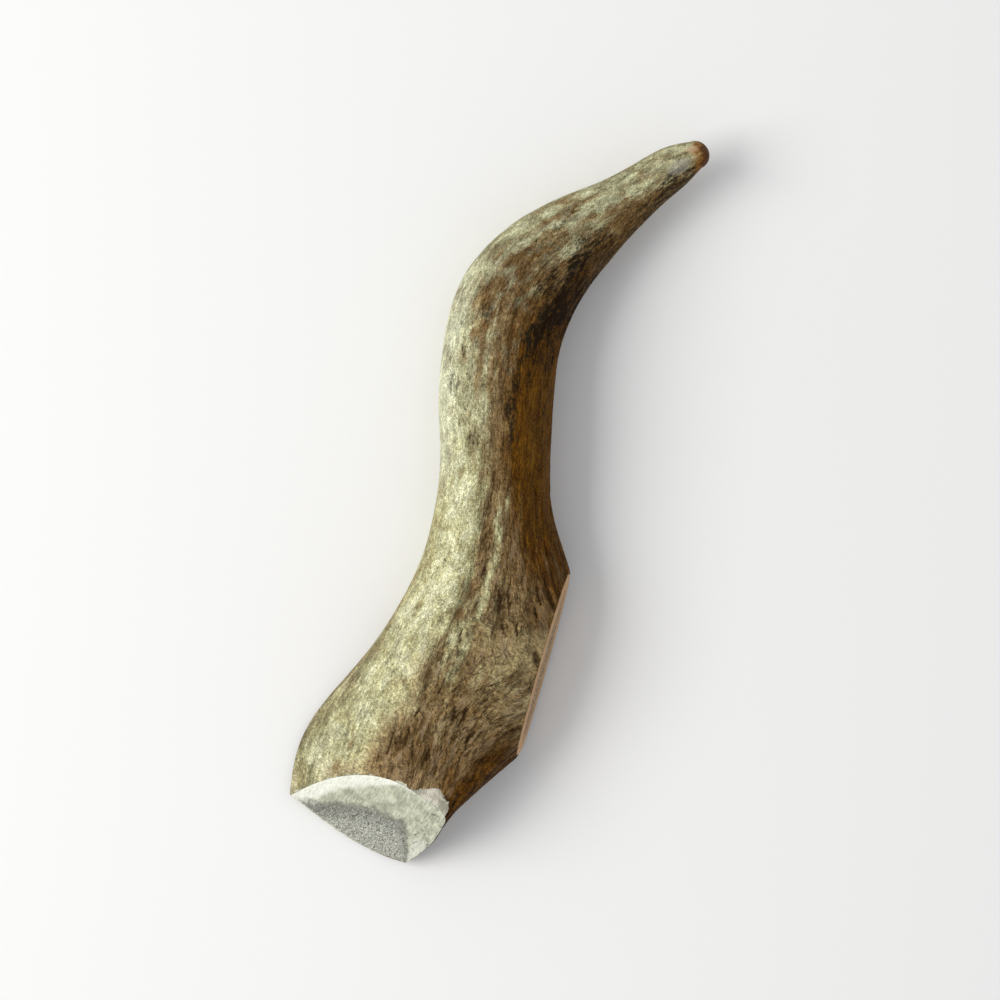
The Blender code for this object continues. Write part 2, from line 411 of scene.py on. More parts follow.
PITCH = 0.30
low, high = rim_flat.min(0), rim_flat.max(0)
field = []
for r, yy in enumerate(np.arange(low[1], high[1], PITCH * 0.866)):
    for xx in np.arange(low[0] + (r % 2) * PITCH / 2, high[0], PITCH):
        field.append((xx, yy))
field = np.array(field)
field = field[inside(inset(rim_flat, 0.62 + PITCH * 0.75), field)]
field += np.random.default_rng(5).normal(size=field.shape) * PITCH * 0.08
inner = loop_flat[-1]
cdt_in = [Vector(map(float, p)) for p in np.concatenate([inner, field])]
out_points, _, out_faces, origin, _, _ = delaunay_2d_cdt(
    cdt_in, [], [list(range(N_ROUND))], 1, 1e-5
)
number = {}
for n, source in enumerate(origin):
    first_source = min(source, default=N_ROUND)  # none where edges crossed
    if first_source < N_ROUND:
        number[n] = int(loops[-1][first_source])
    else:
        number[n] = len(points)
        points.append(from_flat(np.array(out_points[n])[None])[0])
        along.append(float(start.mean()))
        line_of.append(0)
        kind.append(1)
for tri in out_faces:
    p = [np.array(out_points[v]) for v in tri]
    turned = (p[1][0] - p[0][0]) * (p[2][1] - p[0][1]) - (p[1][1] - p[0][1]) * (p[2][0] - p[0][0])
    tri = list(tri) if turned > 0 else list(tri)[::-1]
    faces.append(tuple(number[v] for v in tri))
    corners.append(tuple((float(out_points[v][0]) + END_UV[0], float(out_points[v][1]) + END_UV[1]) for v in tri))

points = np.array(points)
along, line_of, kind = np.array(along), np.array(line_of), np.array(kind)

# -------------------------------------------------------------- the fork cut
# What stands past the fork plane is pressed flat onto it, with a worn rim.
FORK_WORN = 0.55
past = np.where(along < 110.0, points @ fork_n - fork_o, -30.0)
near_plane = np.clip(FORK_WORN - np.abs(past), 0, None)
flat_past = np.minimum(past, 0) - near_plane**2 / (4 * FORK_WORN)
on_fork = (past > 0) & (kind == 0)
points = points + fork_n * (flat_past - past)[:, None]

# Distance from the rim across the fork face, from points where lines cross it.
rim_points = []
for (b0, n0, st0), (b1, n1, st1) in zip(rings, rings[1:]):
    if n0 != n1:
        continue
    f0, f1 = past[b0 : b0 + n0], past[b1 : b1 + n1]
    crossing = np.nonzero((f0 > 0) != (f1 > 0))[0]
    for i in crossing:
        t = f0[i] / (f0[i] - f1[i])
        rim_points.append(points[b0 + i] * (1 - t) + points[b1 + i] * t)
    g = np.roll(f0, -1)
    crossing = np.nonzero((f0 > 0) != (g > 0))[0]
    for i in crossing:
        t = f0[i] / (f0[i] - g[i])
        rim_points.append(points[b0 + i] * (1 - t) + points[b0 + (i + 1) % n0] * t)
rim_points = np.array(rim_points)
fork_in = np.zeros(len(points))
for chunk in np.array_split(np.nonzero(on_fork)[0], 24):
    gap = points[chunk][:, None, :] - rim_points[None]
    fork_in[chunk] = np.sqrt((gap**2).sum(-1)).min(1)
fork_side = np.where(on_fork, -fork_in, np.clip(-past, 0, None))

# ------------------------------------------------------- places on the antler
tau = 2 * np.pi * line_of / N_ROUND
turn = np.where(
    line_of <= 2 * N_RIGHT,
    (2 * N_RIGHT - line_of) / N_RIGHT,
    (2 * N_RIGHT - line_of) / N_LEFT,
)  # from the crest: 1 is the right flank, -1 the left, 2 and -2 the underside
wide_round = np.interp(along, TABLE, walked[:, -1])
grain_r = GRAIN_RADIUS * np.where(along > 140, np.clip(wide_round / 74.0, 0.28, 1.0) ** 0.8, 1.0)
end_gap = end_o - points @ end_n  # distance behind the end cut
body = kind == 0
# The grain bends round into the fork from above and from below.
bent = 6.5 * np.exp(-(((along - 64.0) / 13.0) ** 2)) * smooth(0.0, 1.0, turn) * smooth(1.95, 1.4, turn)
flow_turn = tau + bent / GRAIN_RADIUS
grain = np.stack([grain_r * np.cos(flow_turn), grain_r * np.sin(flow_turn), along], -1)
grain[~body] = points[~body] + 200.0

# First build of the mesh: Blender works out its normals.
mesh = bpy.data.meshes.new("antler_surface")
mesh.from_pydata([tuple(p) for p in points], [], faces)
mesh.update()
normals = np.empty(len(points) * 3, np.float32)
mesh.vertex_normals.foreach_get("vector", normals)
normals = normals.reshape(-1, 3).astype(float)
bpy.data.meshes.remove(mesh)
upward = smooth(-0.25, 0.2, normals[:, 2])  # seen from above


MARKS_FROM = np.array([0.0, 0.45])  # places of marks and grooves are given from here


# Marks are placed on a plan of the antler drawn from 1 m straight above it.
plan = (points[:, :2] - [0.02, -3.92]) * (990.0 / (1000.0 - points[:, 2]))[:, None] + [0.02, -3.92]


def nearness(polyline, width):
    """1 on the line, falling to 0 at width, for points of the upper surface."""
    line = np.array(polyline, float) + MARKS_FROM
    if len(line) > 2:  # rounded corners
        t = np.linspace(0, len(line) - 1, (len(line) - 1) * 5 + 1)
        k = np.clip(t.astype(int), 0, len(line) - 2)
        u = (t - k)[:, None]
        p0, p3 = line[np.maximum(k - 1, 0)], line[np.minimum(k + 2, len(line) - 1)]
        p1, p2 = line[k], line[k + 1]
        line = 0.5 * (2 * p1 + (p2 - p0) * u + (2 * p0 - 5 * p1 + 4 * p2 - p3) * u**2 + (3 * p1 - p0 - 3 * p2 + p3) * u**3)
    best = np.full(len(points), 1e9)
    low, high = line.min(0) - width * 2, line.max(0) + width * 2
    near = np.nonzero(((plan > low) & (plan < high)).all(1))[0]
    p = plan[near] + wander[near]
    share = np.zeros(len(near))
    for n, (a, b) in enumerate(zip(line[:-1], line[1:])):
        t = np.clip(((p - a) @ (b - a)) / max(((b - a) ** 2).sum(), 1e-9), 0, 1)
        d = np.linalg.norm(p - a - t[:, None] * (b - a), axis=1)
        closer = d < best[near]
        best[near] = np.minimum(best[near], d)
        share[closer] = (n + t[closer]) / (len(line) - 1)
    value = np.zeros(len(points))
    taper = np.clip(np.minimum(share, 1 - share) * 5, 0.25, 1)  # pointed ends
    value[near] = np.clip(1 - best[near] / (width * taper), 0, 1)
    return value * upward


def blob(x, y, along_r, across_r, heading_deg, ragged=0.5, seed=0):
    """A ragged patch on the upper surface, 1 inside, 0 outside."""
    h = math.radians(heading_deg)
    d = plan - MARKS_FROM - np.array([x, y])
    u = (d[:, 0] * math.cos(h) + d[:, 1] * math.sin(h)) / along_r
    v = (-d[:, 0] * math.sin(h) + d[:, 1] * math.cos(h)) / across_r
    r = np.sqrt(u * u + v * v) + ragged * patchy
    return smooth(1.15, 0.55, r) * upward


g = grain
wander = np.stack([perlin(g / 3.1, 41), perlin(g / 3.1, 43)], -1) * 0.35
patchy = perlin(g * [0.45, 0.45, 0.22], 51) * 0.6 + perlin(g * [1.3, 1.3, 0.6], 52) * 0.35

# ---------------------------------------------------------------- the stain, painted shade and highlights
# Pale and weathered on the left, stained brown on the right. The boundary runs
# along the antler at this distance (mm) to the right of the axis.
k = np.clip(along / LENGTH * (len(TABLE) - 1), 0, len(TABLE) - 1.000001)
low_row = k.astype(int)
across = outlines[low_row, line_of, 0] * (1 - (k - low_row)) + outlines[low_row + 1, line_of, 0] * (k - low_row)
half = np.where(across > 0, np.interp(along, TABLE, section_at(TABLE)[:, RIGHT]), np.interp(along, TABLE, section_at(TABLE)[:, LEFT]))
sideways = across / half  # -1 at the left flank, 1 at the right
boundary = np.interp(
    along,
    [0, 31, 39, 46, 53, 60, 65, 73, 83, 92, 100, 109, 118, 125, 131, 138, 146, 152, 158, 166, 176, 192],
    [-1.6, -1.6, -1.2, -0.2, -2.4, -1.8, -1.2, -2.3, -2.4, -2.6, -2.9, -2.0, -4.6, -4.4, -7.2, -8.7, -6.4, -2.2, -0.4, 0.3, 1.0, 1.6],
)
soft = np.interp(along, [0, 30, 60, 80, 95, 105, 125, 140, 150, 160, 192], [3.4, 3.2, 2.4, 2.0, 2.2, 4.0, 4.4, 4.0, 4.0, 3.4, 2.6])
ragged_edge = 1.5 * perlin(g * [0.3, 0.3, 0.11], 3) + 0.9 * perlin(g * [0.9, 0.9, 0.22], 4) + 0.5 * perlin(g * [2.0, 2.0, 0.6], 5)
above = smooth(-0.45, 0.0, np.where(np.abs(turn) < 1, 0.0, 1 - np.abs(turn)))
zone = smooth(-1.0, 1.0, (across - boundary + ragged_edge) / soft) * above
round_back = smooth(1.3, 1.9, turn)  # underside, from the right
left_under = smooth(-1.3, -1.8, turn)
zone = np.maximum(zone, smooth(1.0, 1.2, turn) * (1 - 0.4 * round_back))
zone = np.maximum(zone, 0.6 * left_under)
stain = zone * np.interp(along, [0, 40, 50, 60, 74, 86, 104, 120, 140, 152, 165, 192], [0.90, 0.86, 0.70, 0.58, 0.64, 0.80, 0.90, 0.94, 0.86, 0.66, 0.74, 0.66])
stain *= 1 - 0.35 * smooth(0.1, 0.6, perlin(g * [0.22, 0.22, 0.09], 6)) * smooth(0.6, 0.2, sideways)
# The pale side is unevenly weathered: olive clouds, tan flushes.
clouds = smooth(-0.1, 0.55, perlin(g * [0.30, 0.30, 0.13], 13) + 0.5 * perlin(g * [0.8, 0.8, 0.4], 14))
flush = smooth(0.1, 0.6, perlin(g * [0.24, 0.24, 0.12], 15) + 0.45 * perlin(g * [0.9, 0.9, 0.5], 16))
stain = np.maximum(stain, 0.24 * clouds * np.interp(along, [0, 40, 90, 120, 192], [0.5, 0.5, 0.8, 1.3, 1.2]))
stain = np.maximum(stain, 0.34 * flush * np.interp(along, [0, 60, 100, 115, 135, 150, 192], [0.5, 0.2, 0.5, 1.1, 1.2, 0.7, 0.5]))

seen = (np.abs(turn) < 1.0) * body
# The left edge is olive and darker: partly olive weathering, partly painted shade where the surface curves down.
olive_flank_and_edge_shade = smooth(-0.62, -0.96, sideways + 0.06 * patchy) * np.interp(along, [24, 36, 76, 98, 108, 140, 150, 176, 188], [0.7, 1.0, 0.9, 0.6, 0.0, 0.0, 1.0, 1.0, 0.5])
stain = np.maximum(stain, np.interp(along, [60, 72], [0.42, 0.33]) * olive_flank_and_edge_shade * above)
stain = np.maximum(stain, np.interp(along, [130, 146, 158, 176, 188, 192], [0.0, 0.2, 0.32, 0.32, 0.18, 0.1]) * (0.5 + 1.1 * clouds) * above)
stain += 0.30 * perlin(g * [0.55, 0.55, 0.34], 23) * np.interp(along, [96, 112, 130, 186, 192], [0.0, 0.5, 1.0, 0.9, 0.4]) * above
left_streak = np.exp(-(((sideways - np.interp(along, [30, 44, 53, 62, 71, 84], [-0.70, -0.66, -0.76, -0.86, -0.68, -0.66])) / 0.11) ** 2)) * np.interp(along, [26, 34, 80, 90], [0.0, 1.0, 0.9, 0.0]) * seen
stain = stain * (1 - 0.6 * left_streak) - 0.12 * left_streak
stain += 0.14 * np.exp(-(((sideways + 0.80) / 0.10) ** 2)) * np.interp(along, [90, 97, 108, 114], [0.0, 1.0, 1.0, 0.0]) * seen
stain *= 1 - 0.24 * np.exp(-(((across + 1.2) / 1.7) ** 2)) * np.interp(along, [100, 106, 128, 134], [0.0, 1.0, 1.0, 0.0]) * seen
stain += 0.12 * np.exp(-(((sideways - 0.05) / 0.26) ** 2)) * np.interp(along, [162, 168, 188, 192], [0.0, 1.3, 1.6, 0.0]) * seen
stain += 0.16 * smooth(0.55, 0.8, sideways) * np.interp(along, [24, 32, 48, 54], [0.0, 1.0, 1.0, 0.0]) * seen
# Painted highlight: the ridge left of the middle is lightened towards cream.
pale_ridge_highlight = np.exp(-(((sideways + 0.50) / 0.17) ** 2)) * np.interp(along, [40, 52, 94, 104], [0.5, 1.0, 1.0, 0.0]) * seen
stain = stain * (1 - 0.75 * pale_ridge_highlight) - 0.13 * pale_ridge_highlight
line_at = np.interp(along, [44, 54, 61, 68, 75, 82, 89, 96, 103, 112, 124], [-1.0, -2.2, -2.0, -1.0, -0.4, -0.4, -0.1, -0.9, 1.2, 3.0, 4.2])
olive_grey = smooth(0.0, 0.55, perlin(g * [0.42, 0.42, 0.26], 31) + 0.45 * perlin(g * [1.2, 1.2, 0.7], 32)) * smooth(-0.95, -0.7, sideways) * smooth(0.45, 0.1, sideways) * np.interp(along, [112, 122, 140, 158, 180, 190], [0.0, 0.7, 1.0, 0.9, 0.5, 0.0]) * seen
# A groove right of the pale band, sunk a little and drawn dark brown along it: painted shade.
groove_and_painted_shade = np.exp(-(((across - line_at + wander[:, 0] + 0.5 * patchy) / 0.85) ** 2)) * np.interp(along, [46, 56, 66, 104, 118, 126], [0.0, 0.30, 0.72, 1.0, 0.9, 0.0]) * seen
groove_and_painted_shade *= 0.45 + 0.55 * smooth(-0.35, 0.25, perlin(g / [1.6, 1.6, 3.2], 19))
stain = np.maximum(stain, 0.98 * groove_and_painted_shade)
light_at = np.interp(along, [50, 61, 68, 75, 82, 89, 96], [3.2, 3.3, 3.0, 2.6, 2.1, 1.6, 1.7])
light_band = np.exp(-(((across - light_at + wander[:, 1]) / np.interp(along, [66, 78], [1.5, 1.0])) ** 2)) * np.interp(along, [48, 58, 92, 101], [0.0, 1.0, 1.0, 0.0]) * seen
stain = stain * (1 - 0.62 * light_band * (0.85 + 0.6 * patchy))

# The deepest stain, with painted shade: the right side of the shaft and the skirt below the fork, which face away
# from the key light, are darkened past their stain.
deep_stain_and_shade = smooth(0.10, 0.48, sideways - np.interp(along, [62, 90, 100, 106, 128, 140, 192], [0.28, 0.14, 0.02, -0.08, -0.06, 0.0, 0.0]) + 0.16 * perlin(g * [0.35, 0.35, 0.08], 8)) * np.interp(along, [60, 70, 78, 86, 138, 148, 164, 176, 192], [0.0, 0.22, 0.72, 1.0, 1.0, 0.75, 0.5, 0.25, 0.15])
deep_stain_and_shade = np.maximum(deep_stain_and_shade, smooth(0.64, 0.92, sideways + 0.10 * patchy) * np.interp(along, [0, 18, 36, 46, 53], [0.3, 0.9, 0.95, 0.9, 0.0]))
deep_stain_and_shade *= np.where(turn > 0, smooth(1.75, 1.2, turn), 0.0)
deep_stain_and_shade *= 1 - 0.55 * smooth(124.0, 142.0, along + 10 * patchy) * smooth(0.75, 0.45, sideways)
# A lighter, rubbed stripe between the deep stain and painted shade and the right flank.
rubbed = smooth(0.34, 0.72, sideways) * smooth(1.6, 1.0, turn) * np.interp(along, [84, 92, 110], [0.0, 0.8, 1.0]) * smooth(142.0, 116.0, along + 14.0 * patchy) * (0.75 + 0.5 * perlin(g * [0.5, 0.5, 0.06], 9))
rubbed = np.clip(rubbed, 0, 1)

# Brown patches, dark stains and rust on the upper side: place, size, heading.
for x, y, length, width, heading, amount in (
    (-19.0, 46.2, 6.4, 3.0, 54, 0.95),
    (-15.8, 58.2, 3.6, 2.0, 54, 0.85),
    (-16.6, 52.2, 5.5, 2.2, 60, 0.6),
    (-3.2, 64.7, 5.5, 2.0, 60, 0.85),
    (-15.0, 26.0, 9.0, 3.2, 118, 0.85),
    (-20.3, 36.5, 5.0, 2.6, 96, 0.7),
    (-21.5, 25.6, 2.6, 1.3, 105, 0.7),
    (-16.2, 16.7, 2.3, 1.1, 112, 0.6),
    (-10.6, -2.9, 1.6, 1.0, 112, 0.4),
    (-13.0, 20.0, 3.6, 1.6, 112, 0.5),
    (-20.6, 31.0, 4.4, 2.2, 100, 0.45),
    (-18.8, 8.0, 1.5, 0.8, 110, 0.45),
    (-5.7, -64.2, 1.9, 0.7, 100, 0.5),
    (-4.6, -67.6, 1.5, 0.6, 100, 0.5),
    (-5.1, -73.5, 2.0, 0.9, 100, 0.45),
):
    stain = np.maximum(stain, amount * blob(x, y, length, width, heading, 0.8))
pale = blob(22.0, -31.0, 6.5, 3.6, 60, 0.9) * 0.25
ochre = np.maximum(blob(20.0, -32.0, 8.0, 4.6, 50, 0.8), blob(13.5, -33.5, 5.5, 2.6, 0, 0.9)) * 0.85
pale = np.maximum(pale, nearness([(-19.5, 33), (-17.0, 22), (-13.5, 14), (-9.5, 6)], 1.7) * 0.55)
pale = np.maximum(pale, nearness([(7.4, -31), (6.9, -26), (5.6, -20), (4.6, -14), (2.4, -7), (0.6, -1)], 1.3) * (0.32 + 0.46 * smooth(-0.35, 0.3, perlin(g / [1.3, 1.3, 3.2], 33))))
pale = np.maximum(pale, nearness([(5.4, -38), (5.9, -33.5), (7.2, -29)], 1.6) * 0.60)
pale = np.maximum(pale, nearness([(8.2, -41), (8.0, -36), (8.3, -31.5)], 1.2) * 0.45)
streaky = smooth(0.15, 0.55, perlin(g / [1.1, 1.1, 4.6], 27))
pale = np.maximum(pale, 0.50 * streaky * zone * np.interp(along, [30, 40, 84, 92], [0.15, 0.45, 0.8, 0.0]) * (1 - 0.85 * smooth(7.0, 11.0, across) * smooth(66.0, 60.0, along)))
pale = np.maximum(pale, blob(-11.4, 51.6, 3.6, 1.8, 60, 0.9) * 0.6)
pale = np.maximum(pale, blob(-13.8, 40.5, 3.0, 1.2, 75, 0.8) * 0.35)
stain = stain * (1 - pale)
deep_stain_and_shade = deep_stain_and_shade * (1 - 0.8 * pale)

# Near-black, slightly green stain: a broken band on the inside of the bend.
blotch = perlin(g / [0.9, 0.9, 1.8], 17)
dark_stain_and_shade = nearness([(-8.0, 49.0), (-8.6, 46.6), (-8.7, 39.1), (-9.3, 35.6), (-10.1, 30.8), (-9.5, 25.3)], 3.2)
dark_stain_and_shade = smooth(0.0, 1.1, dark_stain_and_shade + 0.8 * patchy + 0.5 * blotch) * np.interp(along, [118, 126, 134, 150], [0.4, 0.7, 0.85, 0.75])
dark_stain_and_shade = np.maximum(dark_stain_and_shade, 0.85 * smooth(0.0, 0.8, nearness([(-9.8, 28.8), (-9.5, 25.3), (-9.4, 22.1), (-8.3, 18.6), (-7.6, 15.7), (-6.1, 12.7), (-5.4, 8.2)], 1.9) + 0.35 * patchy * (across > -2)) * np.interp(along, [96, 104, 116, 128], [0.0, 0.5, 0.75, 0.8]) * (0.85 + 0.5 * blotch) * smooth(-4.5, -2.5, across))
band_at = np.interp(along, [98, 103, 110, 117, 124, 131], [3.2, 3.0, 2.9, 3.3, 4.8, 7.2])
dark_stain_and_shade = np.maximum(dark_stain_and_shade, (0.62 + 0.35 * blotch) * np.exp(-(((across - band_at + 1.6 * patchy) / 1.5) ** 2)) * np.interp(along, [98, 108, 126, 136], [0.0, 0.8, 1.0, 0.6]) * seen)
for x, y, length, width, heading, amount in (
    (-8.4, 50.4, 3.6, 2.6, 55, 0.95),
    (-7.6, 55.2, 5.4, 2.8, 57, 0.62),
    (-12.4, 42.6, 4.4, 2.4, 75, 0.66),
    (-8.0, 37.4, 5.2, 2.6, 70, 1.1),
    (-9.4, 32.4, 4.4, 2.2, 70, 1.05),
    (-5.2, 44.0, 8.0, 2.4, 62, 0.75),
    (-21.6, 30.0, 2.6, 1.4, 105, 0.42),
    (-22.3, 21.8, 2.9, 1.3, 110, 0.36),
    (-20.7, 13.9, 2.6, 1.4, 115, 0.4),
    (-16.6, 8.8, 2.9, 1.6, 115, 0.34),
    (-11.5, 5.1, 2.6, 1.6, 115, 0.4),
    (2.8, 77.2, 5.6, 1.3, 55, 0.55),
    (3.4, 70.4, 7.0, 1.6, 52, 0.5),
    (12.4, -51.0, 2.4, 1.2, 95, 0.45),
    (5.4, -75.0, 1.6, 0.7, 95, 0.2),
):
    dark_stain_and_shade = np.maximum(dark_stain_and_shade, amount * blob(x, y, length, width, heading, 1.1) * (0.85 + 0.5 * blotch))
dark_stain_and_shade = np.maximum(dark_stain_and_shade, 0.3 * nearness([(-2.6, 22.5), (-1.2, 18), (0.0, 15.4), (3.3, 8.6)], 0.9))
dark_stain_and_shade = np.maximum(dark_stain_and_shade, 0.5 * nearness([(-7.4, 26.9), (-6.6, 22.0), (-4.8, 17.0)], 0.8))

# Painted shade: the right flanks of the bend, the tine and the base, which face away from the key light, get the same
# near-black on top of their stain.
dark_stain_and_shade = np.maximum(dark_stain_and_shade, (0.68 + 0.3 * blotch) * smooth(0.34, 0.68, sideways + 0.10 * patchy) * smooth(1.75, 1.2, turn) * smooth(117.0, 139.0, along + 16.0 * patchy) * np.interp(along, [0, 148, 163, 170], [1.0, 0.95, 0.55, 0.0]))
dark_stain_and_shade = np.maximum(dark_stain_and_shade, (0.56 + 0.3 * blotch) * smooth(0.14, 0.66, sideways + 0.15 * patchy) * smooth(1.6, 1.2, turn) * np.interp(along, [164, 174, 188, 191], [0.0, 0.9, 1.0, 0.0]))
dark_stain_and_shade = np.maximum(dark_stain_and_shade, (0.36 + 0.3 * blotch) * smooth(0.72, 0.95, sideways + 0.08 * patchy) * smooth(1.7, 1.3, turn) * np.interp(along, [0, 24, 46, 53], [0.4, 1.0, 1.0, 0.0]))

rust = np.maximum(blob(18.6, -65.4, 5.4, 2.8, 70, 0.9), blob(21.6, -60.0, 5.0, 2.0, 60, 0.9) * 0.7) * 0.62
rust = np.maximum(rust, smooth(0.50, 0.80, turn) * smooth(1.6, 1.1, turn) * np.interp(along, [70, 90, 110, 122], [0.15, 0.38, 0.48, 0.4]) * smooth(140.0, 118.0, along + 16.0 * patchy))
rust = np.maximum(rust, 0.55 * smooth(0.15, 0.5, perlin(g * [0.9, 0.9, 0.6], 21) + 0.4 * patchy) * smooth(-0.9, -0.4, sideways) * smooth(0.7, 0.3, sideways) * np.interp(along, [120, 132, 180, 190], [0.0, 1.0, 0.8, 0.2]) * above)
# A tan flush above the sawn end and along the edge of the stain.
tan = 0.9 * smooth(5.0, 0.4, end_gap + 1.4 * patchy) * smooth(-0.75, -0.45, sideways) * body
tan = np.maximum(tan, 0.8 * smooth(1.3, 0.1, np.abs(across - boundary + 1.2 + 0.6 * ragged_edge) / 2.6) * np.interp(along, [0, 50, 70, 192], [1.0, 0.9, 0.0, 0.0]))
tan *= upward
tip = smooth(LENGTH - 3.2, LENGTH + 3.0, along + 1.8 * np.clip(turn, -1.2, 1.2) + 2.2 * patchy + 0.8 * perlin(points / 1.3, 105))
tip_pale = blob(2.6, 83.6, 2.2, 1.2, 55, 0.8)
tip_grey = blob(1.6, 79.3, 2.6, 1.6, 55, 0.8)
chip_height = np.interp(across, [7.0, 8.7, 10.0, 11.4, 12.7, 14.0, 15.8, 17.0, 17.8, 18.4, 19.2], [-0.5, 0.2, 0.8, 1.4, 2.1, 2.2, 2.0, 1.8, 1.2, 0.2, -0.8])
chip_gap = chip_height - end_gap - 0.40 * patchy + 0.30 * perlin(points / 0.9, 103) - 2.6 * smooth(18.5, 17.6, points[:, 2])
chip_white = smooth(-0.30, 0.40, chip_gap) * body * smooth(1.35, 1.1, turn) * (turn > 0)
chip_dark = blob(19.1, -68.2, 0.5, 0.32, 0, 0.3)

# The old velvet groove along the left flank of the base is grey and fibrous.
fibrous = smooth(-0.22, -0.60, sideways + 0.10 * perlin(g * [0.4, 0.4, 0.1], 12)) * np.interp(along, [0, 40, 56, 66], [1.0, 1.0, 0.7, 0.0])
fibrous *= smooth(-1.35, -1.1, turn) * (1 - 0.75 * left_streak)

# ---------------------------------------------------------------- the relief
flow = g + np.stack(
    [perlin(g / [4.5, 4.5, 9.0], 61), perlin(g / [4.5, 4.5, 9.0], 62), np.zeros(len(g))], -1
) * 0.9
coarse = perlin(flow / [1.15, 1.15, 5.0], 71)
middling = perlin(flow / [0.80, 0.80, 3.0], 72)
fine = perlin(flow / [0.5, 0.5, 1.7], 73)
slit = smooth(0.30, 0.02, np.abs(perlin(flow / [1.5, 1.5, 6.0], 74))) * smooth(-0.1, 0.4, perlin(flow / [2.0, 2.0, 4.0], 75))
furrow = np.clip(smooth(0.16, 0.72, coarse) * 0.95 + smooth(0.25, 0.8, middling) * 0.35 + 0.55 * slit, 0, 1.2)
rough_zone = zone * np.interp(along, [0, 22, 50, 84, 100, 150, 170, 192], [0.9, 1.0, 1.0, 0.95, 0.5, 0.55, 0.25, 0.0])
rough_zone = rough_zone * (1 - 0.7 * pale)
furrowed = np.interp(along, [0, 90, 150, 170, 192], [0.16, 0.16, 0.2, 0.12, 0.02]) + 0.84 * rough_zone
depth = 0.46 * furrow * furrowed + 0.16 * groove_and_painted_shade

GROOVES = (  # half-width, depth, points along it
    (1.05, 0.30, [(-8.2, 8.7), (-3.4, -1.2), (0.3, -9.2), (3.4, -16.2), (4.2, -21.7), (5.7, -25.2), (5.8, -28.6), (6.6, -31.2)]),
    (0.90, 0.20, [(-9.1, 5.8), (-3.5, -6.2), (0.2, -15.4), (2.2, -23.0), (2.9, -27.4), (3.2, -31.7), (2.9, -36.5)]),
    (0.75, 0.45, [(5.4, -33.0), (6.6, -36.8)]),
    (0.80, 0.55, [(12.0, -22.2), (14.6, -28.8)]),
    (0.90, 0.60, [(12.2, -27.6), (14.8, -30.8)]),
    (0.80, 0.55, [(15.4, -26.4), (17.6, -30.2)]),
    (0.70, 0.45, [(9.8, -18.0), (12.2, -25.0)]),
    (0.75, 0.45, [(16.0, -20.8), (19.6, -24.2)]),
    (0.85, 0.55, [(18.6, -17.4), (22.4, -20.6)]),
    (0.75, 0.45, [(15.4, -16.6), (19.4, -21.4)]),
    (0.70, 0.40, [(14.2, -12.4), (19.6, -18.6)]),
    (0.60, 0.30, [(8.6, -9.0), (13.0, -17.5)]),
    (0.70, 0.40, [(12.9, -40.5), (10.7, -43.9), (9.6, -47.0)]),
    (0.75, 0.45, [(19.6, -39.2), (15.7, -42.6), (13.4, -46.4)]),
    (0.70, 0.40, [(22.6, -42.0), (18.4, -45.6), (16.6, -49.5)]),
    (0.75, 0.45, [(7.6, -46.4), (6.8, -52.2)]),
    (0.90, 0.60, [(11.8, -48.6), (13.0, -53.4)]),
    (0.90, 0.60, [(14.4, -47.6), (14.7, -53.2)]),
    (0.75, 0.50, [(4.8, -51.0), (4.9, -56.8)]),
    (0.70, 0.45, [(5.2, -57.6), (5.7, -62.2)]),
    (0.75, 0.45, [(5.2, -66.2), (6.3, -69.8)]),
    (0.75, 0.50, [(11.0, -59.0), (11.8, -65.4)]),
    (0.70, 0.45, [(12.1, -54.0), (13.7, -60.2)]),
    (0.65, 0.40, [(10.2, -56.0), (10.0, -60.4)]),
    (0.65, 0.40, [(18.6, -51.5), (17.0, -57.5)]),
    (0.70, 0.40, [(20.6, -49.0), (18.8, -55.5)]),
    (0.75, 0.62, [(3.1, -67.0), (2.6, -62.7), (1.8, -60.0)]),
    (0.75, 0.55, [(-1.1, -63.4), (-1.0, -64.2)]),
    (0.60, 0.45, [(-18.8, 46.3), (-18.7, 47.2)]),
    (0.65, 0.45, [(-18.9, 49.7), (-18.6, 50.6)]),
    (0.50, 0.30, [(-15.2, 32.5), (-12.6, 25.0), (-10.4, 18.0)]),
    (0.50, 0.28, [(-13.0, 36.0), (-12.6, 30.0), (-11.0, 24.0)]),
    (0.45, 0.22, [(-17.2, 31.0), (-14.6, 22.0), (-12.2, 16.0)]),
    (0.32, 0.16, [(-9.2, 70.5), (-9.0, 68.0), (-8.4, 65.5)]),
    (0.32, 0.15, [(-1.0, 78.7), (-1.6, 76.6), (-3.1, 75.4)]),
    (0.32, 0.14, [(-13.5, 65.4), (-14.6, 61.8)]),
    (0.30, 0.12, [(-5.0, 74.0), (-6.8, 71.4)]),
)
stroke = np.zeros(len(points))
for width, deepness, place in GROOVES:
    stroke = np.maximum(stroke, smooth(0.1, 1, nearness(place, 0.86 * width)) * deepness)
stroke *= 0.40 + 0.60 * smooth(-0.35, 0.30, middling + 0.5 * fine)  # uneven along its length
depth = np.maximum(depth, stroke) + 0.35 * np.minimum(depth, stroke)
cavity = np.clip(np.maximum(0.85 * depth, 1.35 * stroke) / 0.42, 0, 1.2)

flutes = perlin(g / [4.2, 4.2, 42.0], 81) * 0.30 + perlin(g / [2.3, 2.3, 20.0], 82) * 0.10
lumps = perlin(points / 17.0, 83) * 0.35 + perlin(points / 7.0, 84) * 0.10
calm = np.interp(along, [0, 150, 180, 192], [1.0, 1.0, 0.45, 0.2])
